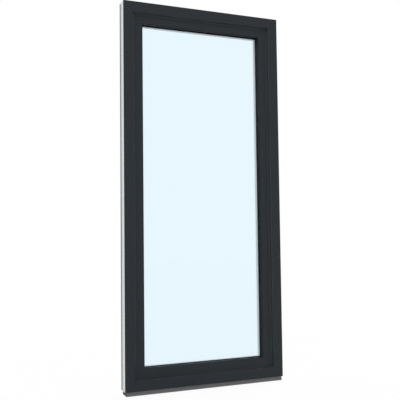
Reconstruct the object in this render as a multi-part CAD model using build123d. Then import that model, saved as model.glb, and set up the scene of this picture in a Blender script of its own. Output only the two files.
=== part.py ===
from build123d import *
import os

# Outer frame, in millimetres: width along X, depth along Y towards the room, height up Z.
FRAME_WIDTH = 940.0
FRAME_HEIGHT = 2100.0
FRAME_DEPTH = 82.0

# Frame section. Widths run inward from the frame's outer edge, depths back from its outside face.
FRAME_FACE = 57.0
FRAME_LIP = 16.0
FRAME_BACK = 42.0
REBATE_FALL = 2.0
LIP_BEVEL_WIDTH = 3.0
LIP_BEVEL_DEPTH = 5.0
EDGE_RADIUS = 1.5

# Clip grooves that run along the frame's outer edge.
OUTER_GROOVE_DEPTH = 26.0
OUTER_GROOVE_MOUTH = 8.0
ROOM_GROOVE_DEPTH = 64.0
ROOM_GROOVE_MOUTH = 14.0
GROOVE_UNDERCUT = 2.0
GROOVE_LIP = 1.5
GROOVE_HEIGHT = 6.0

# Sash section and how it laps the frame.
STOP_SEAL = 4.0
OVERLAP_SEAL = 3.5
SASH_UNDERLAP = 6.0
SASH_OVERLAP = 8.0
SASH_FACE = 64.0
SASH_FLANGE = 16.5
GLAZING_LIP = 17.5
GLAZING_REBATE = 21.0
SASH_BEVEL_WIDTH = 4.0
SASH_BEVEL_DEPTH = 5.0
FLANGE_RADIUS = 3.0
GEAR_GROOVE_WIDTH = 12.0
GEAR_GROOVE_DEPTH = 9.0
GEAR_GROOVE_SETBACK = 7.0

# Glass unit of two panes and one cavity.
PANE = 4.0
CAVITY = 16.0
GLASS_EDGE_GAP = 5.0
OUTER_GLAZING_SEAL = 3.5
INNER_GLAZING_SEAL = 3.0
SPACER_HEIGHT = 11.0

# Glazing bead, clipped into the sash on the room side.
BEAD_SLOPE_WIDTH = 8.0
BEAD_SLOPE_DEPTH = 9.0
BEAD_RADIUS = 2.0
BEAD_FOOT_SETBACK = 5.0
BEAD_FOOT_WIDTH = 6.0
BEAD_FOOT_HEIGHT = 4.0
BEAD_FOOT_CLEARANCE = 0.3

# Gaskets. A seal reaches past the edge that it fills by its lip.
STOP_GASKET_WIDTH = 7.0
OVERLAP_GASKET_WIDTH = 5.0
GLAZING_GASKET_WIDTH = 7.0
GASKET_LIP = 0.8

# Setting blocks that carry the glass on the bottom rail.
BLOCK_LENGTH = 100.0
BLOCK_FROM_CORNER = 70.0

# Sill connection profile that the frame stands on.
BASE_HEIGHT = 22.0
BASE_DEPTH = 70.0
BASE_SETBACK = 2.0
BASE_INSET = 7.0
BASE_STEP_HEIGHT = 12.0
BASE_STEP_DEPTH = 3.0
BASE_WALL = 2.5
BASE_CHAMBERS = 3
CLIP_WIDTH = 7.0
CLIP_HEIGHT = 5.0

# Lever handle on the room face of the left stile. Its height counts from the frame's bottom edge.
HANDLE_HEIGHT = 1050.0
HANDLE_FROM_FLANGE = 31.0
ROSETTE_WIDTH = 30.0
ROSETTE_HEIGHT = 70.0
ROSETTE_THICKNESS = 11.0
ROSETTE_RADIUS = 9.0
ROSETTE_ROUNDING = 2.5
NECK_DIAMETER = 19.0
NECK_LENGTH = 31.0
GRIP_LENGTH = 122.0
GRIP_WIDTH = 22.0
GRIP_HUB_RADIUS = 9.5
GRIP_WAIST = 18.0
GRIP_WAIST_BELOW = 38.0
GRIP_WAIST_RADIUS = 90.0
GRIP_THICKNESS = 12.0
GRIP_SWEEP = 5.0
GRIP_END_RADIUS = 5.0
GRIP_ROUNDING = 2.5

# Side hinges on the right jamb. Their heights count from the frame's bottom and top edges.
HINGE_FROM_CORNER = 115.0
HINGE_AXIS_FROM_FLANGE = 10.0
HINGE_AXIS_DEPTH = 16.0
KNUCKLE_DIAMETER = 16.0
KNUCKLE_LENGTH = 42.0
KNUCKLE_GAP = 0.3
PIN_DIAMETER = 7.0
PIN_CLEARANCE = 0.3
PIN_HEAD_DIAMETER = 12.0
PIN_HEAD_HEIGHT = 5.0
PIN_HEAD_CHAMFER = 2.0
KNUCKLE_CHAMFER = 0.8
FRAME_LEAF_WIDTH = 22.0
FRAME_LEAF_HEIGHT = 78.0
SASH_LEAF_WIDTH = 34.0
LEAF_THICKNESS = 4.0
LEAF_RADIUS = 4.0
HINGE_WEB = 9.0

# Places that follow from the sizes above.
OUTSIDE_Y = -BASE_SETBACK - BASE_DEPTH / 2
FRAME_CENTRE_Z = BASE_HEIGHT + FRAME_HEIGHT / 2
SASH_OUTSIDE = FRAME_LIP + STOP_SEAL
SASH_WALL = FRAME_FACE - SASH_UNDERLAP
SASH_INNER_EDGE = SASH_WALL + SASH_FACE
FLANGE_EDGE = FRAME_BACK - SASH_OVERLAP
FLANGE_BACK = FRAME_DEPTH + OVERLAP_SEAL
SASH_ROOM = FLANGE_BACK + SASH_FLANGE
GLASS_STOP = SASH_OUTSIDE + GLAZING_LIP
GLASS_SEAT = SASH_INNER_EDGE - GLAZING_REBATE
GLASS_EDGE = GLASS_SEAT + GLASS_EDGE_GAP
GLASS_OUTSIDE = GLASS_STOP + OUTER_GLAZING_SEAL
GLASS_ROOM = GLASS_OUTSIDE + 2 * PANE + CAVITY
BEAD_OUTSIDE = GLASS_ROOM + INNER_GLAZING_SEAL

# Turn about Y that brings a bottom member to each side.
SIDE_TURN = {"bottom": 0, "left": 90, "top": 180, "right": 270}


def section(corners):
    """Face across a member from (depth, width, corner radius) triples."""
    points = [(OUTSIDE_Y + depth, width) for depth, width, _ in corners]
    radii = [radius for _, _, radius in corners]
    outline = FilletPolyline(*points, radius=radii, close=True)
    return Plane.YZ * make_face(outline)


def mitred(face, side):
    """One side of the window: the section run along that side and cut at 45 degrees at its ends."""
    upright = side in ("left", "right")
    run, across = (FRAME_HEIGHT, FRAME_WIDTH) if upright else (FRAME_WIDTH, FRAME_HEIGHT)
    bar = extrude(face, amount=run / 2, both=True)
    reach = face.bounding_box().max.Z
    half = run / 2
    outline = Polyline((-half, 0), (half, 0), (half - reach, reach), (reach - half, reach), close=True)
    envelope = extrude(Plane.XZ * make_face(outline), amount=2 * SASH_ROOM, both=True)
    member = Pos(0, 0, -across / 2) * (bar & envelope)
    return Pos(0, 0, FRAME_CENTRE_Z) * (Rot(0, SIDE_TURN[side], 0) * member)


def ring(face):
    """The section run round all four sides as one piece."""
    first, *others = [mitred(face, side) for side in SIDE_TURN]
    return first + others


def plate(edge, front, thickness):
    """Flat sheet inside the window, set in from the frame's outer edge on all sides."""
    middle = Pos(0, OUTSIDE_Y + front + thickness / 2, FRAME_CENTRE_Z)
    return middle * Box(FRAME_WIDTH - 2 * edge, thickness, FRAME_HEIGHT - 2 * edge)


def groove(centre, mouth_width):
    """Corners of one undercut clip groove in the frame's outer edge, from the room side out."""
    mouth = mouth_width / 2
    base = mouth + GROOVE_UNDERCUT
    return [
        (centre + mouth, 0, 0),
        (centre + mouth, GROOVE_LIP, 0),
        (centre + base, GROOVE_LIP, 0),
        (centre + base, GROOVE_HEIGHT, 0),
        (centre - base, GROOVE_HEIGHT, 0),
        (centre - base, GROOVE_LIP, 0),
        (centre - mouth, GROOVE_LIP, 0),
        (centre - mouth, 0, 0),
    ]


def frame_section():
    """Face lip with a bevelled tip, a rebate that falls outward, and a back with two grooves."""
    lip_and_rebate = [
        (0, 0, EDGE_RADIUS),
        (0, FRAME_FACE - LIP_BEVEL_WIDTH, EDGE_RADIUS),
        (LIP_BEVEL_DEPTH, FRAME_FACE, EDGE_RADIUS),
        (FRAME_LIP, FRAME_FACE, 0),
        (FRAME_LIP, FRAME_BACK - REBATE_FALL, 0),
        (FRAME_DEPTH, FRAME_BACK, 0),
        (FRAME_DEPTH, 0, EDGE_RADIUS),
    ]
    room_groove = groove(ROOM_GROOVE_DEPTH, ROOM_GROOVE_MOUTH)
    outer_groove = groove(OUTER_GROOVE_DEPTH, OUTER_GROOVE_MOUTH)
    return section(lip_and_rebate + room_groove + outer_groove)


def sash_section():
    """Outside face with a bevelled glazing lip, glass rebate, bead slot, flange and gear groove."""
    foot_room = SASH_ROOM - BEAD_FOOT_SETBACK
    foot_outside = foot_room - BEAD_FOOT_WIDTH
    gear_room = FLANGE_BACK - GEAR_GROOVE_SETBACK
    gear_outside = gear_room - GEAR_GROOVE_WIDTH
    return section([
        (SASH_OUTSIDE, SASH_WALL, EDGE_RADIUS),
        (SASH_OUTSIDE, SASH_INNER_EDGE - SASH_BEVEL_WIDTH, EDGE_RADIUS),
        (SASH_OUTSIDE + SASH_BEVEL_DEPTH, SASH_INNER_EDGE, EDGE_RADIUS),
        (GLASS_STOP, SASH_INNER_EDGE, 0),
        (GLASS_STOP, GLASS_SEAT, 0),
        (foot_outside, GLASS_SEAT, 0),
        (foot_outside, GLASS_SEAT - BEAD_FOOT_HEIGHT, 0),
        (foot_room, GLASS_SEAT - BEAD_FOOT_HEIGHT, 0),
        (foot_room, GLASS_SEAT, 0),
        (SASH_ROOM, GLASS_SEAT, 0),
        (SASH_ROOM, FLANGE_EDGE, FLANGE_RADIUS),
        (FLANGE_BACK, FLANGE_EDGE, EDGE_RADIUS),
        (FLANGE_BACK, SASH_WALL, 0),
        (gear_room, SASH_WALL, 0),
        (gear_room, SASH_WALL + GEAR_GROOVE_DEPTH, 0),
        (gear_outside, SASH_WALL + GEAR_GROOVE_DEPTH, 0),
        (gear_outside, SASH_WALL, 0),
    ])


def bead_section():
    """Bead with a sloped room face and a foot in the sash's slot."""
    foot_room = SASH_ROOM - BEAD_FOOT_SETBACK - BEAD_FOOT_CLEARANCE
    foot_outside = foot_room - BEAD_FOOT_WIDTH + 2 * BEAD_FOOT_CLEARANCE
    foot_base = GLASS_SEAT - BEAD_FOOT_HEIGHT + BEAD_FOOT_CLEARANCE
    return section([
        (BEAD_OUTSIDE, GLASS_SEAT, 0),
        (BEAD_OUTSIDE, SASH_INNER_EDGE, EDGE_RADIUS),
        (SASH_ROOM - BEAD_SLOPE_DEPTH, SASH_INNER_EDGE, BEAD_RADIUS),
        (SASH_ROOM, SASH_INNER_EDGE - BEAD_SLOPE_WIDTH, BEAD_RADIUS),
        (SASH_ROOM, GLASS_SEAT, 0),
        (foot_room, GLASS_SEAT, 0),
        (foot_room, foot_base, 0),
        (foot_outside, foot_base, 0),
        (foot_outside, GLASS_SEAT, 0),
    ])


def seal_section(front, back, outer, inner):
    """Gasket between two depths, with a lip that narrows towards the edge it shows at."""
    middle = (front + back) / 2
    return section([
        (front, outer, 0),
        (front, inner, 0),
        (middle, inner + GASKET_LIP, 0),
        (back, inner, 0),
        (back, outer, 0),
    ])


def gaskets():
    """Black seals: frame to sash outside and inside, and glass to sash and to beads."""
    stop = seal_section(FRAME_LIP, SASH_OUTSIDE, FRAME_FACE - STOP_GASKET_WIDTH, FRAME_FACE)
    overlap_outer = FLANGE_EDGE + (SASH_OVERLAP - OVERLAP_GASKET_WIDTH) / 2
    overlap = seal_section(FRAME_DEPTH, FLANGE_BACK, overlap_outer, overlap_outer + OVERLAP_GASKET_WIDTH)
    glazing_outer = SASH_INNER_EDGE - GLAZING_GASKET_WIDTH
    outer_glazing = seal_section(GLASS_STOP, GLASS_OUTSIDE, glazing_outer, SASH_INNER_EDGE)
    inner_glazing = seal_section(GLASS_ROOM, BEAD_OUTSIDE, glazing_outer, SASH_INNER_EDGE)
    return {
        "frame_stop_gasket": ring(stop),
        "sash_overlap_gasket": ring(overlap),
        "outer_glazing_gasket": ring(outer_glazing),
        "inner_glazing_gasket": ring(inner_glazing),
    }


def glass_unit():
    """Two panes held apart by a spacer ring along their edges."""
    cavity_front = GLASS_OUTSIDE + PANE
    spacer = plate(GLASS_EDGE, cavity_front, CAVITY)
    return {
        "outer_pane": plate(GLASS_EDGE, GLASS_OUTSIDE, PANE),
        "inner_pane": plate(GLASS_EDGE, cavity_front + CAVITY, PANE),
        "glass_spacer": spacer - plate(GLASS_EDGE + SPACER_HEIGHT, cavity_front, CAVITY),
    }


def setting_blocks():
    """Two blocks between the bottom rail and the glass, as deep as the glass unit."""
    depth = GLASS_ROOM - GLASS_OUTSIDE
    block = Box(BLOCK_LENGTH, depth, GLASS_EDGE_GAP)
    x = FRAME_WIDTH / 2 - GLASS_EDGE - BLOCK_FROM_CORNER - BLOCK_LENGTH / 2
    y = OUTSIDE_Y + GLASS_OUTSIDE + depth / 2
    z = BASE_HEIGHT + GLASS_SEAT + GLASS_EDGE_GAP / 2
    return Compound([Pos(-x, y, z) * block, Pos(x, y, z) * block])


def base_profile():
    """Hollow sill connection profile with a stepped front and two clips in the frame's grooves."""
    front = BASE_SETBACK
    back = BASE_SETBACK + BASE_DEPTH
    outline = [
        (front, 0, 0),
        (back, 0, 0),
        (back, BASE_HEIGHT, 0),
        (front + BASE_STEP_DEPTH, BASE_HEIGHT, 0),
        (front + BASE_STEP_DEPTH, BASE_STEP_HEIGHT, 0),
        (front, BASE_STEP_HEIGHT - BASE_STEP_DEPTH, 0),
    ]
    length = FRAME_WIDTH - 2 * BASE_INSET
    body = extrude(section(outline), amount=length / 2, both=True)
    pitch = (BASE_DEPTH - BASE_STEP_DEPTH - BASE_WALL) / BASE_CHAMBERS
    chamber = Box(length, pitch - BASE_WALL, BASE_HEIGHT - 2 * BASE_WALL)
    for i in range(BASE_CHAMBERS):
        middle = back - BASE_WALL / 2 - (i + 0.5) * pitch
        body -= Pos(0, OUTSIDE_Y + middle, BASE_HEIGHT / 2) * chamber
    clip = Box(length, CLIP_WIDTH, CLIP_HEIGHT)
    for depth in (OUTER_GROOVE_DEPTH, ROOM_GROOVE_DEPTH):
        body += Pos(0, OUTSIDE_Y + depth, BASE_HEIGHT + CLIP_HEIGHT / 2) * clip
    return body


def handle():
    """Rosette, neck and lever grip that points down when the window is shut."""
    x = -FRAME_WIDTH / 2 + FLANGE_EDGE + HANDLE_FROM_FLANGE
    face = Plane((x, OUTSIDE_Y + SASH_ROOM, BASE_HEIGHT + HANDLE_HEIGHT), x_dir=(-1, 0, 0), z_dir=(0, 1, 0))
    outline = RectangleRounded(ROSETTE_WIDTH, ROSETTE_HEIGHT, ROSETTE_RADIUS)
    rosette = extrude(outline, amount=ROSETTE_THICKNESS)
    rosette = fillet(rosette.faces().sort_by(Axis.Z)[-1].edges(), ROSETTE_ROUNDING)
    neck = Pos(0, 0, ROSETTE_THICKNESS) * extrude(Circle(NECK_DIAMETER / 2), amount=NECK_LENGTH)
    return {
        "handle_rosette": face * rosette,
        "handle_neck": face * neck,
        "handle_grip": face * (Pos(0, 0, ROSETTE_THICKNESS + NECK_LENGTH) * grip()),
    }


def grip():
    """Lever with a round hub, a waist below it and a thick end swept towards the hand."""
    half = GRIP_WIDTH / 2
    waist = GRIP_WAIST / 2
    radii = [GRIP_HUB_RADIUS, GRIP_WAIST_RADIUS, GRIP_END_RADIUS]
    front = FilletPolyline(
        (half, half),
        (waist, -GRIP_WAIST_BELOW),
        (half, -GRIP_LENGTH),
        (-half, -GRIP_LENGTH),
        (-waist, -GRIP_WAIST_BELOW),
        (-half, half),
        radius=radii + radii[::-1],
        close=True,
    )
    side = FilletPolyline(
        (0, half),
        (GRIP_THICKNESS, half),
        (GRIP_THICKNESS + GRIP_SWEEP, -GRIP_LENGTH),
        (GRIP_SWEEP, -GRIP_LENGTH),
        (0, -GRIP_WAIST_BELOW),
        radius=[0, GRIP_END_RADIUS, GRIP_END_RADIUS, GRIP_ROUNDING, GRIP_WAIST_RADIUS],
        close=True,
    )
    plan = extrude(make_face(front), amount=GRIP_THICKNESS + GRIP_SWEEP)
    profile = Plane((0, 0, 0), x_dir=(0, 0, 1), z_dir=(-1, 0, 0)) * make_face(side)
    return plan & extrude(profile, amount=GRIP_WIDTH, both=True)


def leaf(width, height):
    """Flat hinge leaf with rounded corners, its back on the plane z = 0."""
    return extrude(RectangleRounded(width, height, LEAF_RADIUS), amount=LEAF_THICKNESS)


def hinge(name, centre):
    """Two knuckles on one pin: the lower one on the frame's leaf, the upper one on the sash's."""
    axis_x = FRAME_WIDTH / 2 - FLANGE_EDGE + HINGE_AXIS_FROM_FLANGE
    axis_y = OUTSIDE_Y + FRAME_DEPTH + HINGE_AXIS_DEPTH
    frame_face = Plane((axis_x, OUTSIDE_Y + FRAME_DEPTH, centre), x_dir=(-1, 0, 0), z_dir=(0, 1, 0))
    sash_face = Plane((axis_x, OUTSIDE_Y + SASH_ROOM, centre), x_dir=(-1, 0, 0), z_dir=(0, 1, 0))
    bore = Pos(axis_x, axis_y, centre) * Cylinder(PIN_DIAMETER / 2 + PIN_CLEARANCE, 3 * KNUCKLE_LENGTH)
    rise = (KNUCKLE_LENGTH + KNUCKLE_GAP) / 2
    knuckle = Cylinder(KNUCKLE_DIAMETER / 2, KNUCKLE_LENGTH)
    knuckle = chamfer(knuckle.edges().filter_by(GeomType.CIRCLE), KNUCKLE_CHAMFER)
    lower = Pos(axis_x, axis_y, centre - rise) * knuckle
    upper = Pos(axis_x, axis_y, centre + rise) * knuckle
    web = frame_face * Pos(0, -rise, HINGE_AXIS_DEPTH / 2) * Box(HINGE_WEB, KNUCKLE_LENGTH, HINGE_AXIS_DEPTH)
    leaf_shift = (FRAME_LEAF_WIDTH - KNUCKLE_DIAMETER) / 2
    frame_leaf = frame_face * Pos(-leaf_shift, -rise, 0) * leaf(FRAME_LEAF_WIDTH, FRAME_LEAF_HEIGHT)
    sash_leaf = sash_face * Pos(SASH_LEAF_WIDTH / 2, rise, 0) * leaf(SASH_LEAF_WIDTH, KNUCKLE_LENGTH)
    pin = Pos(axis_x, axis_y, centre) * Cylinder(PIN_DIAMETER / 2, 2 * KNUCKLE_LENGTH + KNUCKLE_GAP)
    for end in (1, -1):
        cap = Cylinder(PIN_HEAD_DIAMETER / 2, PIN_HEAD_HEIGHT)
        cap = chamfer(cap.faces().sort_by(Axis.Z)[-1].edges(), PIN_HEAD_CHAMFER)
        reach = KNUCKLE_GAP / 2 + KNUCKLE_LENGTH + PIN_HEAD_HEIGHT / 2
        pin += Pos(axis_x, axis_y, centre + end * reach) * (Rot(90 - 90 * end, 0, 0) * cap)
    return {
        name + "_hinge_frame_leaf": lower + web + frame_leaf - bore,
        name + "_hinge_sash_leaf": upper + sash_leaf - bore,
        name + "_hinge_pin": pin,
    }


def window():
    """Every piece by its name."""
    names = {"bottom": "bottom_rail", "left": "left_stile", "top": "top_rail", "right": "right_stile"}
    parts = {"base_profile": base_profile()}
    for side, name in names.items():
        frame_name = {"top": "frame_head", "bottom": "frame_bottom_rail"}.get(side, f"frame_{side}_jamb")
        parts[frame_name] = mitred(frame_section(), side)
        parts["sash_" + name] = mitred(sash_section(), side)
        parts["glazing_bead_" + side] = mitred(bead_section(), side)
    parts |= gaskets() | glass_unit() | {"setting_blocks": setting_blocks()} | handle()
    parts |= hinge("lower", BASE_HEIGHT + HINGE_FROM_CORNER)
    parts |= hinge("upper", BASE_HEIGHT + FRAME_HEIGHT - HINGE_FROM_CORNER)
    return parts


os.makedirs("parts", exist_ok=True)
for part_name, part in window().items():
    export_step(part, f"parts/{part_name}.step")
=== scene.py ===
import bpy
import bmesh
import math
from mathutils import Matrix, Vector


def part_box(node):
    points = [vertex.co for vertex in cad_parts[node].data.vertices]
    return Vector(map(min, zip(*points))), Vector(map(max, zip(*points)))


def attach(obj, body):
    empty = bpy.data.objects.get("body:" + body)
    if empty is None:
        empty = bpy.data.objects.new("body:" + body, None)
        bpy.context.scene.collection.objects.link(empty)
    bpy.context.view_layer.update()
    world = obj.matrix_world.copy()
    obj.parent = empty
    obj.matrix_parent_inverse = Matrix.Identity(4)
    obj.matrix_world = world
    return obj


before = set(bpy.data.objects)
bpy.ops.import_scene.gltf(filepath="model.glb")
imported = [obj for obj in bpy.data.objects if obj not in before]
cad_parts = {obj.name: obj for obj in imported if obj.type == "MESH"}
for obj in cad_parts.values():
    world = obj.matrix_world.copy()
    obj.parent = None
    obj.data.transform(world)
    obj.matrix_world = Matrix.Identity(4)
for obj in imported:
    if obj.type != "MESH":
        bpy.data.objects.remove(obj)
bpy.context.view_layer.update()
MM = 0.001


# Film-laminated profiles: the outer frame and its leaf, each four mitred lengths welded at the corners.
# White plastic with an embossed anthracite film outside. Painted light lifts the shade in the step round
# the leaf, in patches and less at the foot. Painted shade darkens the side that the wall hides towards
# its room-side groove, and the grooves' insides.
class Term:
    """A shader socket that can be used in sums, and that adds the Math nodes they need."""

    def __init__(self, finish, socket):
        self.finish = finish
        self.socket = socket

    def __add__(self, other):
        return self.finish.math("ADD", self, other)

    def __radd__(self, other):
        return self.finish.math("ADD", other, self)

    def __sub__(self, other):
        return self.finish.math("SUBTRACT", self, other)

    def __rsub__(self, other):
        return self.finish.math("SUBTRACT", other, self)

    def __mul__(self, other):
        return self.finish.math("MULTIPLY", self, other)

    def __rmul__(self, other):
        return self.finish.math("MULTIPLY", other, self)

    def __gt__(self, other):
        return self.finish.math("GREATER_THAN", self, other)

    def __lt__(self, other):
        return self.finish.math("LESS_THAN", self, other)


class Finish:
    """The shader tree of one material, or of the studio's sky: its nodes, maths and surface."""

    def __init__(self, name, kept_in=bpy.data.materials):
        self.made = kept_in.new(name)
        self.made.use_nodes = True
        self.tree = self.made.node_tree
        self.tree.nodes.clear()

    def node(self, kind, settings=None, values=(), **named):
        """Adds a node, sets it, then fills its sockets by place or by name, and gives its outputs."""
        made = self.tree.nodes.new("ShaderNode" + kind)
        for key, value in (settings or {}).items():
            setattr(made, key, value)
        sockets = [s for s in made.inputs if s.enabled]
        pairs = list(zip(sockets, values))
        for key, value in named.items():
            pairs.append((next(s for s in sockets if s.name == key.replace("_", " ")), value))
        for socket, value in pairs:
            if isinstance(value, Term):
                self.tree.links.new(value.socket, socket)
            else:
                socket.default_value = value
        return {s.name: Term(self, s) for s in made.outputs if s.enabled}

    def math(self, operation, *values):
        return self.node("Math", {"operation": operation}, values)["Value"]

    def place(self):
        """Object coordinates: the place on the window, in metres."""
        return self.node("TexCoord")["Object"]

    def axes(self):
        """The three object coordinates one by one."""
        parts = self.node("SeparateXYZ", Vector=self.place())
        return parts["X"], parts["Y"], parts["Z"]

    def stretched(self, scale):
        """Object coordinates scaled by a different factor along each axis."""
        return self.node("Mapping", Vector=self.place(), Scale=scale)["Vector"]

    def noise(self, vector, scale, detail=3.0, roughness=0.55):
        return self.node(
            "TexNoise", Vector=vector, Scale=scale, Detail=detail, Roughness=roughness
        )["Fac"]

    def step(self, value, low, high):
        """Goes smoothly from 0 at low to 1 at high."""
        return self.node(
            "MapRange", {"interpolation_type": "SMOOTHSTEP"}, Value=value, From_Min=low, From_Max=high
        )["Result"]

    def mix(self, mask, first, second):
        """Colour that goes from first to second as the mask goes from 0 to 1."""
        return self.node("Mix", {"data_type": "RGBA"}, Factor=mask, A=first, B=second)["Result"]

    def bump(self, height, distance, strength=1.0):
        return self.node("Bump", Height=height, Distance=distance, Strength=strength)["Normal"]

    def close(self, **sockets):
        """Ends the tree in a Principled surface and gives the material."""
        surface = self.node("BsdfPrincipled", **sockets)["BSDF"]
        self.node("OutputMaterial", Surface=surface)
        return self.made


def dress(names, material):
    """Gives CAD nodes a finish in place of their plain one."""
    for name in names:
        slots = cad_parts[name].data.materials
        slots.clear()
        slots.append(material)


head_low, head_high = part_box("frame_head")
HALF_WIDTH = head_high.x
OUTSIDE = head_low.y
FRAME_TOP = head_high.z
FRAME_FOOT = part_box("frame_left_jamb")[0].z
FACE_WRAP = 3 * MM
FILM_END = 44 * MM
BARE_EDGE = 12 * MM
ANTHRACITE = (0.0175, 0.0215, 0.0255, 1)
ANTHRACITE_PALE = (0.0225, 0.0268, 0.0315, 1)
WHITE = (0.79, 0.80, 0.80, 1)
WHITE_DEEP = (0.74, 0.75, 0.75, 1)
SEAM = 0.55 * MM
SEAM_IN_FILM = (0.018, 0.020, 0.022, 1)
SEAM_IN_WHITE = (0.45, 0.45, 0.44, 1)
STEP_PAINTED_LIGHT = (0.0530, 0.0620, 0.0680, 1)
STEP_LINE = 57 * MM
STEP_LIGHT_CORE = 1 * MM
STEP_LIGHT_REACH = 14 * MM
BEHIND_FACE = 1.5 * MM
STEP_LIGHT_LOW_TO = 60 * MM
STEP_LIGHT_FULL_FROM = 200 * MM
STEP_LIGHT_LEAST, STEP_LIGHT_HIGHER_UP, STEP_LIGHT_IN_PATCHES = 0.1, 0.45, 0.5
SIDE_PAINTED_SHADE = (0.50, 0.51, 0.51, 1)
SIDE_SHADE_START = 31 * MM
SIDE_SHADE_END = 42 * MM
SKIN = 0.1 * MM
GROOVE_FLOOR = 7 * MM
GROOVE_BACK = 80 * MM
GROOVE_PAINTED_SHADE = (0.05, 0.05, 0.053, 1)
GROOVE_SHADE_SHARE = 0.75


def edge_distances(finish):
    """How far a point lies in from the frame's outer edge, and how far off the line of a mitre."""
    x, _, z = finish.axes()
    across = HALF_WIDTH - finish.math("ABSOLUTE", x)
    upright = finish.math("MINIMUM", z - FRAME_FOOT, FRAME_TOP - z)
    return finish.math("MINIMUM", across, upright), finish.math("ABSOLUTE", across - upright)


def profile_finish(name, grain):
    """White plastic with the film outside, grained along the length, and a seam at each mitre."""
    finish = Finish(name)
    inset, off_mitre = edge_distances(finish)
    _, y, z = finish.axes()
    depth = y - OUTSIDE
    face = depth < FACE_WRAP
    lips = (depth < FILM_END) * (inset > BARE_EDGE)
    film = finish.math("MAXIMUM", face, lips)
    seam = 1 - finish.step(off_mitre, 0.3 * SEAM, SEAM)
    fibres = finish.noise(finish.stretched(grain), 900, 4.0, 0.6)
    clouds = finish.noise(finish.place(), 5.0, 2.0)
    dark = finish.mix(fibres * 0.6 + clouds * 0.4, ANTHRACITE, ANTHRACITE_PALE)
    # Painted light: the shaded step round the leaf is lightened towards a paler film tone, in patches and
    # less towards the foot.
    step_band = 1 - finish.step(finish.math("ABSOLUTE", inset - STEP_LINE), STEP_LIGHT_CORE, STEP_LIGHT_REACH)
    higher_up = finish.step(z - FRAME_FOOT, STEP_LIGHT_LOW_TO, STEP_LIGHT_FULL_FROM)
    step_light_share = STEP_LIGHT_LEAST + higher_up * STEP_LIGHT_HIGHER_UP + clouds * STEP_LIGHT_IN_PATCHES
    dark = finish.mix(step_band * (depth > BEHIND_FACE) * step_light_share, dark, STEP_PAINTED_LIGHT)
    light = finish.mix(clouds, WHITE_DEEP, WHITE)
    # Painted shade: the outer side that the wall hides darkens towards the room.
    shade_roomward = finish.step(depth, SIDE_SHADE_START, SIDE_SHADE_END)
    light = finish.mix(shade_roomward * (inset < SKIN), light, SIDE_PAINTED_SHADE)
    # Painted shade: the grooves in that side are painted near-black inside, more towards the room.
    hollow = (inset > SKIN) * (inset < GROOVE_FLOOR)
    groove = hollow * (depth > FACE_WRAP) * (depth < GROOVE_BACK)
    light = finish.mix(groove * shade_roomward * GROOVE_SHADE_SHARE, light, GROOVE_PAINTED_SHADE)
    colour = finish.mix(film, light, dark)
    colour = finish.mix(seam * film * 0.5, colour, SEAM_IN_FILM)
    colour = finish.mix(seam * (1 - film) * 0.35, colour, SEAM_IN_WHITE)
    relief = fibres * film * 0.9 + finish.noise(finish.place(), 260, 2.0) * 0.2 - seam * 2.2
    return finish.close(
        Base_Color=colour,
        Roughness=0.30 + film * 0.22 + fibres * film * 0.08,
        Specular_IOR_Level=0.16,
        Normal=finish.bump(relief, 0.12 * MM),
    )


upright_profile = profile_finish("upright_profile", (1.0, 1.0, 0.05))
level_profile = profile_finish("level_profile", (0.05, 1.0, 1.0))
dress(["frame_left_jamb", "frame_right_jamb", "sash_left_stile", "sash_right_stile"], upright_profile)
dress(["frame_head", "frame_bottom_rail", "sash_top_rail", "sash_bottom_rail"], level_profile)


# Glazing beads: four white plastic strips, mitred and knocked into the leaf from the room side.
# Their slope catches the light, and a soft grey lip is run along the edge that meets the glass.
LIP_WIDTH = 1.2 * MM
LIP_DEPTH = 2.5 * MM


def bead_finish():
    """Smooth white plastic with a seam at each mitre and the grey lip at the glass."""
    finish = Finish("bead_plastic")
    inset, off_mitre = edge_distances(finish)
    bead_low, bead_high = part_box("glazing_bead_left")
    inner_edge = bead_high.x + HALF_WIDTH
    lip = (inset > inner_edge - LIP_WIDTH) * (finish.axes()[1] < bead_low.y + LIP_DEPTH)
    seam = 1 - finish.step(off_mitre, 0.2 * SEAM, SEAM)
    clouds = finish.noise(finish.place(), 6.0, 2.0)
    colour = finish.mix(clouds, WHITE_DEEP, WHITE)
    colour = finish.mix(seam * 0.55, colour, (0.30, 0.30, 0.30, 1))
    colour = finish.mix(lip, colour, (0.10, 0.10, 0.105, 1))
    relief = finish.noise(finish.place(), 300, 2.0) * 0.2 - seam * 2.0
    return finish.close(
        Base_Color=colour,
        Roughness=0.28 + lip * 0.3,
        Specular_IOR_Level=0.35,
        Normal=finish.bump(relief, 0.12 * MM),
    )


dress(["glazing_bead_" + side for side in ("top", "left", "right", "bottom")], bead_finish())


# Seals: black rubber strips pressed into the profiles all round, with welded corners.
# Two close the joint between frame and leaf, and two hold the glass on its outside and inside.
def rubber_finish():
    """Matt black with faint streaks and a dull bloom."""
    finish = Finish("black_rubber")
    streaks = finish.noise(finish.stretched((0.2, 1.0, 0.2)), 250, 2.0)
    bloom = finish.noise(finish.place(), 14.0, 3.0)
    colour = finish.mix(bloom, (0.010, 0.010, 0.011, 1), (0.020, 0.020, 0.021, 1))
    return finish.close(
        Base_Color=colour,
        Roughness=0.60 + streaks * 0.12,
        Specular_IOR_Level=0.30,
        Normal=finish.bump(streaks, 0.04 * MM),
    )


dress(
    ["frame_stop_gasket", "sash_overlap_gasket", "outer_glazing_gasket", "inner_glazing_gasket"],
    rubber_finish(),
)


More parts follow.
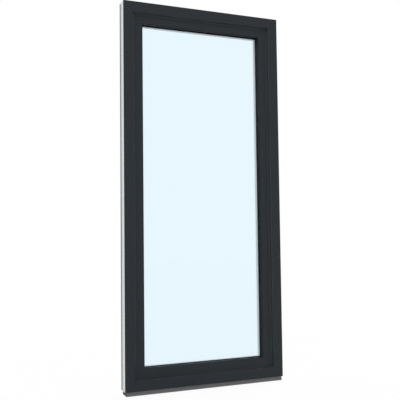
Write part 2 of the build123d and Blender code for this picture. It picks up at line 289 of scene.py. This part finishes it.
# Insulating glass: two float panes with a dry gas space between them, sealed along all edges.
# The clear glass has a pale blue cast. Lamps shine through it without the dark shadow of solid glass.
def pane_finish():
    """Clear tinted glass that lets the lamps through as plain coloured light."""
    finish = Finish("float_glass")
    glass = finish.node(
        "BsdfPrincipled",
        Base_Color=(0.895, 0.960, 0.994, 1),
        Roughness=0.0,
        IOR=1.5,
        Specular_IOR_Level=0.5,
        Transmission_Weight=1.0,
    )["BSDF"]
    clear = finish.node("BsdfTransparent", Color=(0.95, 0.98, 0.995, 1))["BSDF"]
    shadow = finish.node("LightPath")["Is Shadow Ray"]
    both = finish.node("MixShader", None, (shadow, glass, clear))["Shader"]
    finish.node("OutputMaterial", Surface=both)
    return finish.made


dress(["outer_pane", "inner_pane"], pane_finish())


# Spacer: a black warm-edge bar round the gas space, with the sealant that fills the rim outside it.
# The drying powder inside breathes through a row of pinholes that face the gas space.
SEALANT = 4 * MM
BAR = 7 * MM


def spacer_finish():
    """Black bar, with duller sealant in the outermost part of the rim."""
    finish = Finish("warm_edge_spacer")
    inset, _ = edge_distances(finish)
    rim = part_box("glass_spacer")[0].x + HALF_WIDTH
    sealant = inset < rim + SEALANT
    clouds = finish.noise(finish.place(), 120, 3.0)
    bar = finish.mix(clouds, (0.016, 0.016, 0.017, 1), (0.026, 0.026, 0.027, 1))
    paste = finish.mix(clouds, (0.010, 0.010, 0.011, 1), (0.022, 0.022, 0.023, 1))
    return finish.close(
        Base_Color=finish.mix(sealant, bar, paste),
        Roughness=0.50 + sealant * 0.20,
        Specular_IOR_Level=0.25,
        Normal=finish.bump(clouds, 0.05 * MM),
    )


dress(["glass_spacer"], spacer_finish())


class Geometry:
    """One Geometry Nodes tree: named inputs for its sizes, and the calls that add nodes."""

    def __init__(self, name):
        self.tree = bpy.data.node_groups.new(name, "GeometryNodeTree")
        self.tree.interface.new_socket("Geometry", in_out="INPUT", socket_type="NodeSocketGeometry")
        self.tree.interface.new_socket("Geometry", in_out="OUTPUT", socket_type="NodeSocketGeometry")
        self.given = self.tree.nodes.new("NodeGroupInput")
        self.sizes = {}

    def size(self, name, value, kind="Float"):
        """A named input with its value, given as a link for other nodes."""
        made = self.tree.interface.new_socket(name, in_out="INPUT", socket_type="NodeSocket" + kind)
        made.default_value = value
        self.sizes[made.identifier] = value
        return self.given.outputs[name]

    def node(self, kind, settings=None, output=None, **named):
        """Adds a node, sets it, fills its sockets by name, and gives one output, by default the first."""
        made = self.tree.nodes.new(kind)
        for key, value in (settings or {}).items():
            setattr(made, key, value)
        for key, value in named.items():
            name = key.replace("_", " ")
            socket = next(s for s in made.inputs if s.enabled and s.name == name)
            if isinstance(value, bpy.types.NodeSocket):
                self.tree.links.new(value, socket)
            else:
                socket.default_value = value
        return next(s for s in made.outputs if s.enabled and output in (None, s.name))

    def grow(self, name, instances, material):
        """Makes the tree's copies real, turns them into one plain mesh and lets it ride."""
        real = self.node("GeometryNodeRealizeInstances", Geometry=instances)
        painted = self.node("GeometryNodeSetMaterial", Geometry=real, Material=material)
        ended = self.tree.nodes.new("NodeGroupOutput")
        self.tree.links.new(painted, ended.inputs["Geometry"])
        holder = bpy.data.objects.new(name, bpy.data.meshes.new(name + "_start"))
        bpy.context.collection.objects.link(holder)
        modifier = holder.modifiers.new("tree", "NODES")
        modifier.node_group = self.tree
        for identifier, value in self.sizes.items():
            modifier[identifier] = value
        seen = holder.evaluated_get(bpy.context.evaluated_depsgraph_get())
        mesh = bpy.data.meshes.new_from_object(seen)
        mesh.name = name
        holder.modifiers.clear()
        holder.data = mesh
        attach(holder, "root")


def pinholes(material):
    """Row of pinholes round the inner faces of the spacer bar."""
    low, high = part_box("glass_spacer")
    rows = Geometry("pinhole_row")
    width = rows.size("Clear Width", high.x - low.x - 2 * (SEALANT + BAR))
    height = rows.size("Clear Height", high.z - low.z - 2 * (SEALANT + BAR))
    spacing = rows.size("Hole Spacing", 5 * MM)
    radius = rows.size("Hole Radius", 0.6 * MM)
    path = rows.node("GeometryNodeCurvePrimitiveQuadrilateral", Width=width, Height=height)
    path = rows.node(
        "GeometryNodeTransform",
        Geometry=path,
        Translation=(0, (low.y + high.y) / 2, (low.z + high.z) / 2),
        Rotation=(math.pi / 2, 0, 0),
    )
    points = rows.node(
        "GeometryNodeCurveToPoints", {"mode": "LENGTH"}, output="Points", Curve=path, Length=spacing
    )
    across = rows.node("GeometryNodeInputNormal")
    hole = rows.node(
        "GeometryNodeMeshCylinder", {"fill_type": "NGON"}, Vertices=8, Radius=radius, Depth=0.1 * MM
    )
    up = rows.node("FunctionNodeAlignRotationToVector", {"axis": "Z"}, Vector=across)
    holes = rows.node("GeometryNodeInstanceOnPoints", Points=points, Instance=hole, Rotation=up)
    rows.grow("spacer_pinholes", holes, material)


def pinhole_finish():
    """Painted shade: near-black, as the inside of a hole that small looks."""
    finish = Finish("pinhole_dark")
    clouds = finish.noise(finish.place(), 400, 2.0)
    colour = finish.mix(clouds, (0.002, 0.002, 0.002, 1), (0.006, 0.006, 0.006, 1))
    return finish.close(Base_Color=colour, Roughness=0.8, Specular_IOR_Level=0.1)


pinholes(pinhole_finish())


# Setting blocks: moulded plastic pads on the bottom rail that carry the weight of the glass.
# They are coloured by thickness in the trade, and this size is blue.
def block_finish():
    """Plain moulded blue plastic."""
    finish = Finish("setting_block_plastic")
    clouds = finish.noise(finish.place(), 90, 3.0)
    colour = finish.mix(clouds, (0.03, 0.10, 0.32, 1), (0.05, 0.15, 0.42, 1))
    return finish.close(Base_Color=colour, Roughness=0.45, Normal=finish.bump(clouds, 0.1 * MM))


dress(["setting_blocks"], block_finish())


# Base profile: a hollow grey plastic extrusion that lifts the frame over the sill connection.
# It is unfilmed, drawn with faint lines along its length, and dusty where it stands on the ground.
DUSTY_FOOT = 7 * MM


def base_finish():
    """Grey plastic with drawn lines along its length, and pale dust near the ground."""
    finish = Finish("grey_extrusion")
    height = finish.axes()[2]
    lines = finish.noise(finish.stretched((0.01, 1.0, 1.0)), 500, 3.0)
    clouds = finish.noise(finish.place(), 9.0, 4.0)
    colour = finish.mix(lines * 0.5 + clouds * 0.5, (0.098, 0.100, 0.104, 1), (0.134, 0.136, 0.140, 1))
    dust = (1 - finish.step(height, 0.0, DUSTY_FOOT)) * clouds
    colour = finish.mix(dust * 0.5, colour, (0.26, 0.25, 0.24, 1))
    return finish.close(
        Base_Color=colour,
        Roughness=0.5 + clouds * 0.15,
        Specular_IOR_Level=0.3,
        Normal=finish.bump(lines, 0.15 * MM),
    )


dress(["base_profile"], base_finish())


# Handle and hinges: die-cast metal with a white powder coat, which leaves a fine orange peel.
# The hinge pins are bright zinc-plated steel with turned heads.
def powder_finish():
    """White coat with a fine orange peel."""
    finish = Finish("white_powder_coat")
    peel = finish.noise(finish.place(), 900, 2.0)
    clouds = finish.noise(finish.place(), 25, 3.0)
    colour = finish.mix(clouds, (0.74, 0.74, 0.73, 1), (0.80, 0.80, 0.79, 1))
    return finish.close(
        Base_Color=colour,
        Roughness=0.30 + peel * 0.08,
        Specular_IOR_Level=0.5,
        Normal=finish.bump(peel, 0.08 * MM),
    )


def zinc_finish():
    """Bright metal with turning marks round the pins."""
    finish = Finish("bright_zinc")
    turned = finish.noise(finish.stretched((0.3, 0.3, 3.0)), 900, 3.0)
    clouds = finish.noise(finish.place(), 60, 3.0)
    colour = finish.mix(clouds, (0.50, 0.50, 0.49, 1), (0.66, 0.66, 0.65, 1))
    return finish.close(
        Base_Color=colour,
        Metallic=1.0,
        Roughness=0.24 + turned * 0.16,
        Normal=finish.bump(turned, 0.06 * MM),
    )


zinc = zinc_finish()
ENDS = ("lower", "upper")
fittings = ["handle_rosette", "handle_neck", "handle_grip"]
fittings += [end + "_hinge_" + leaf for end in ENDS for leaf in ("frame_leaf", "sash_leaf")]
dress(fittings, powder_finish())
dress([end + "_hinge_pin" for end in ENDS], zinc)


# Hinge screws: zinc-plated cross-head screws that hold each leaf to the plastic and its steel.
# Two stand on the flat part of each leaf on the sash and one under each pin, turned as they came.
def screw_head():
    """Low domed head with a cross recess, its axis along +Z and its rim just under z = 0."""
    rings = ((3.2, -0.2), (3.2, 0.1), (2.9, 0.45), (2.4, 0.7), (1.8, 0.9))
    recess_floor = 0.15
    arm_reach, arm_half = 1.3, 0.32
    quarter = [(arm_half, arm_half), (arm_half, arm_reach), (-arm_half, arm_reach)]
    corners = 4 * len(quarter)
    shape = bmesh.new()

    def loop(points, height):
        return [shape.verts.new((x * MM, y * MM, height * MM)) for x, y in points]

    turns = [math.radians(45 + 360 / corners * i) for i in range(corners)]
    loops = [loop([(r * math.cos(a), r * math.sin(a)) for a in turns], height) for r, height in rings]
    cross = []
    for _ in range(4):
        cross += quarter
        quarter = [(-y, x) for x, y in quarter]
    loops += [loop(cross, rings[-1][1]), loop(cross, recess_floor)]
    for lower, upper in zip(loops, loops[1:]):
        for i in range(corners):
            j = (i + 1) % corners
            shape.faces.new((lower[i], lower[j], upper[j], upper[i]))
    shape.faces.new(loops[-1])
    shape.faces.new(loops[0][::-1])
    bmesh.ops.recalc_face_normals(shape, faces=shape.faces)
    mesh = bpy.data.meshes.new("screw_head")
    shape.to_mesh(mesh)
    shape.free()
    return bpy.data.objects.new("screw_head", mesh)


screw = screw_head()


def screw_column(name, x, face, first, pitch, count):
    """Screws one above another on a hinge leaf, their rims on its room face."""
    column = Geometry(name + "_tree")
    line = column.node(
        "GeometryNodeMeshLine",
        Count=column.size("Screw Count", count, "Int"),
        Start_Location=(x, face, first),
        Offset=(0, 0, pitch),
    )
    turn = column.node(
        "FunctionNodeRandomValue",
        {"data_type": "FLOAT"},
        Min=0.0,
        Max=math.pi / 2,
        Seed=column.size("Turn Seed", 4, "Int"),
    )
    heads = column.node(
        "GeometryNodeInstanceOnPoints",
        Points=line,
        Instance=column.node("GeometryNodeObjectInfo", output="Geometry", Object=screw),
        Rotation=column.node("ShaderNodeCombineXYZ", X=-math.pi / 2, Y=turn),
    )
    column.grow(name, heads, zinc)


FROM_LEAF_END = 9 * MM
FROM_LEAF_SIDE = 10 * MM
UNDER_PIN = 6 * MM
FRAME_LEAF_FACE = head_high.y + 4 * MM
for end in ENDS:
    low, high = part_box(end + "_hinge_sash_leaf")
    pitch = high.z - low.z - 2 * FROM_LEAF_END
    screw_column(end + "_sash_screws", low.x + FROM_LEAF_SIDE, high.y, low.z + FROM_LEAF_END, pitch, 2)
    low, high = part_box(end + "_hinge_frame_leaf")
    middle = (low.x + high.x) / 2
    screw_column(end + "_frame_screws", middle, FRAME_LEAF_FACE, low.z + UNDER_PIN, 0, 1)


# Ground and studio: a plain pale floor under an even pale sky, both white to the camera.
# The floor still takes the window's soft shadow, and the metal and glass show the same white.
# Two wide soft suns, one outside and one on the room side, bring out the steps of the profiles.
FLOOR_WHITE = 0.93
SKY_LIGHT = 0.85
SUN_SPREAD = math.radians(30)


def seen_directly(finish):
    """1 where the camera looks straight at the surface, or in a mirror, or through glass."""
    path = finish.node("LightPath")
    plain = finish.math("MAXIMUM", path["Is Camera Ray"], path["Is Glossy Ray"])
    return finish.math("MAXIMUM", plain, path["Is Transmission Ray"])


def floor_finish():
    """White where it is seen directly, with a little of its real shading left for the shadow."""
    finish = Finish("pale_floor")
    clouds = finish.noise(finish.place(), 2.0, 2.0)
    tint = finish.mix(clouds, (0.83, 0.83, 0.83, 1), (0.85, 0.85, 0.85, 1))
    matt = finish.node("BsdfDiffuse", Color=tint)["BSDF"]
    white = finish.node("Emission", Color=(1, 1, 1, 1), Strength=1.0)["Emission"]
    both = finish.node("MixShader", None, (seen_directly(finish) * FLOOR_WHITE, matt, white))["Shader"]
    finish.node("OutputMaterial", Surface=both)
    return finish.made


def studio_floor():
    """One flat square, far larger than what the camera sees."""
    mesh = bpy.data.meshes.new("floor")
    reach = 14.0
    corners = [(-reach, -reach, 0), (reach, -reach, 0), (reach, reach, 0), (-reach, reach, 0)]
    mesh.from_pydata(corners, [], [(0, 1, 2, 3)])
    floor = bpy.data.objects.new("floor", mesh)
    bpy.context.collection.objects.link(floor)
    mesh.materials.append(floor_finish())


def studio_sky():
    """White where it is seen directly, and a little under white as light on the window."""
    sky = Finish("studio_sky", bpy.data.worlds)
    strength = SKY_LIGHT + seen_directly(sky) * (1 - SKY_LIGHT)
    background = sky.node("Background", Color=(1, 1, 1, 1), Strength=strength)["Background"]
    sky.node("OutputWorld", Surface=background)
    return sky.made


studio_floor()
scene = bpy.context.scene
scene.world = studio_sky()
scene.view_settings.view_transform = "Standard"


def soft_sun(name, place, power):
    """Wide soft sun that shines from a place towards the window, and isn't seen through its glass."""
    light = bpy.data.lights.new(name, "SUN")
    light.angle = SUN_SPREAD
    light.energy = power
    sun = bpy.data.objects.new(name, light)
    sun.rotation_euler = Vector(place).to_track_quat("Z", "Y").to_euler()
    sun.visible_transmission = False
    bpy.context.collection.objects.link(sun)


soft_sun("front_sun", (-1.0, -2.2, 2.6), 0.6)
soft_sun("room_sun", (2.6, 1.6, 2.2), 0.75)


# Camera: the photograph is taken from outside, left of the window, at about waist height.
# It looks a little up and to the right, with a slightly long lens and a slight tilt.
FRAME_PIXELS = 400
FOCAL_PIXELS = 627.5
YAW = math.radians(21.949)
PITCH = math.radians(3.122)
ROLL = math.radians(-0.664)
CAMERA_PLACE = Vector((-1.3423, -3.2805, 0.8481))

lens = bpy.data.cameras.new("camera")
lens.sensor_width = 36.0
lens.lens = FOCAL_PIXELS / FRAME_PIXELS * lens.sensor_width
camera = bpy.data.objects.new("camera", lens)
forward = Vector((math.sin(YAW) * math.cos(PITCH), math.cos(YAW) * math.cos(PITCH), math.sin(PITCH)))
right = Vector((math.cos(YAW), -math.sin(YAW), 0))
up = right.cross(forward)
right_rolled = right * math.cos(ROLL) + up * math.sin(ROLL)
up_rolled = up * math.cos(ROLL) - right * math.sin(ROLL)
turned = Matrix((right_rolled, up_rolled, -forward)).transposed()
camera.matrix_world = Matrix.Translation(CAMERA_PLACE) @ turned.to_4x4()
bpy.context.collection.objects.link(camera)
scene.camera = camera
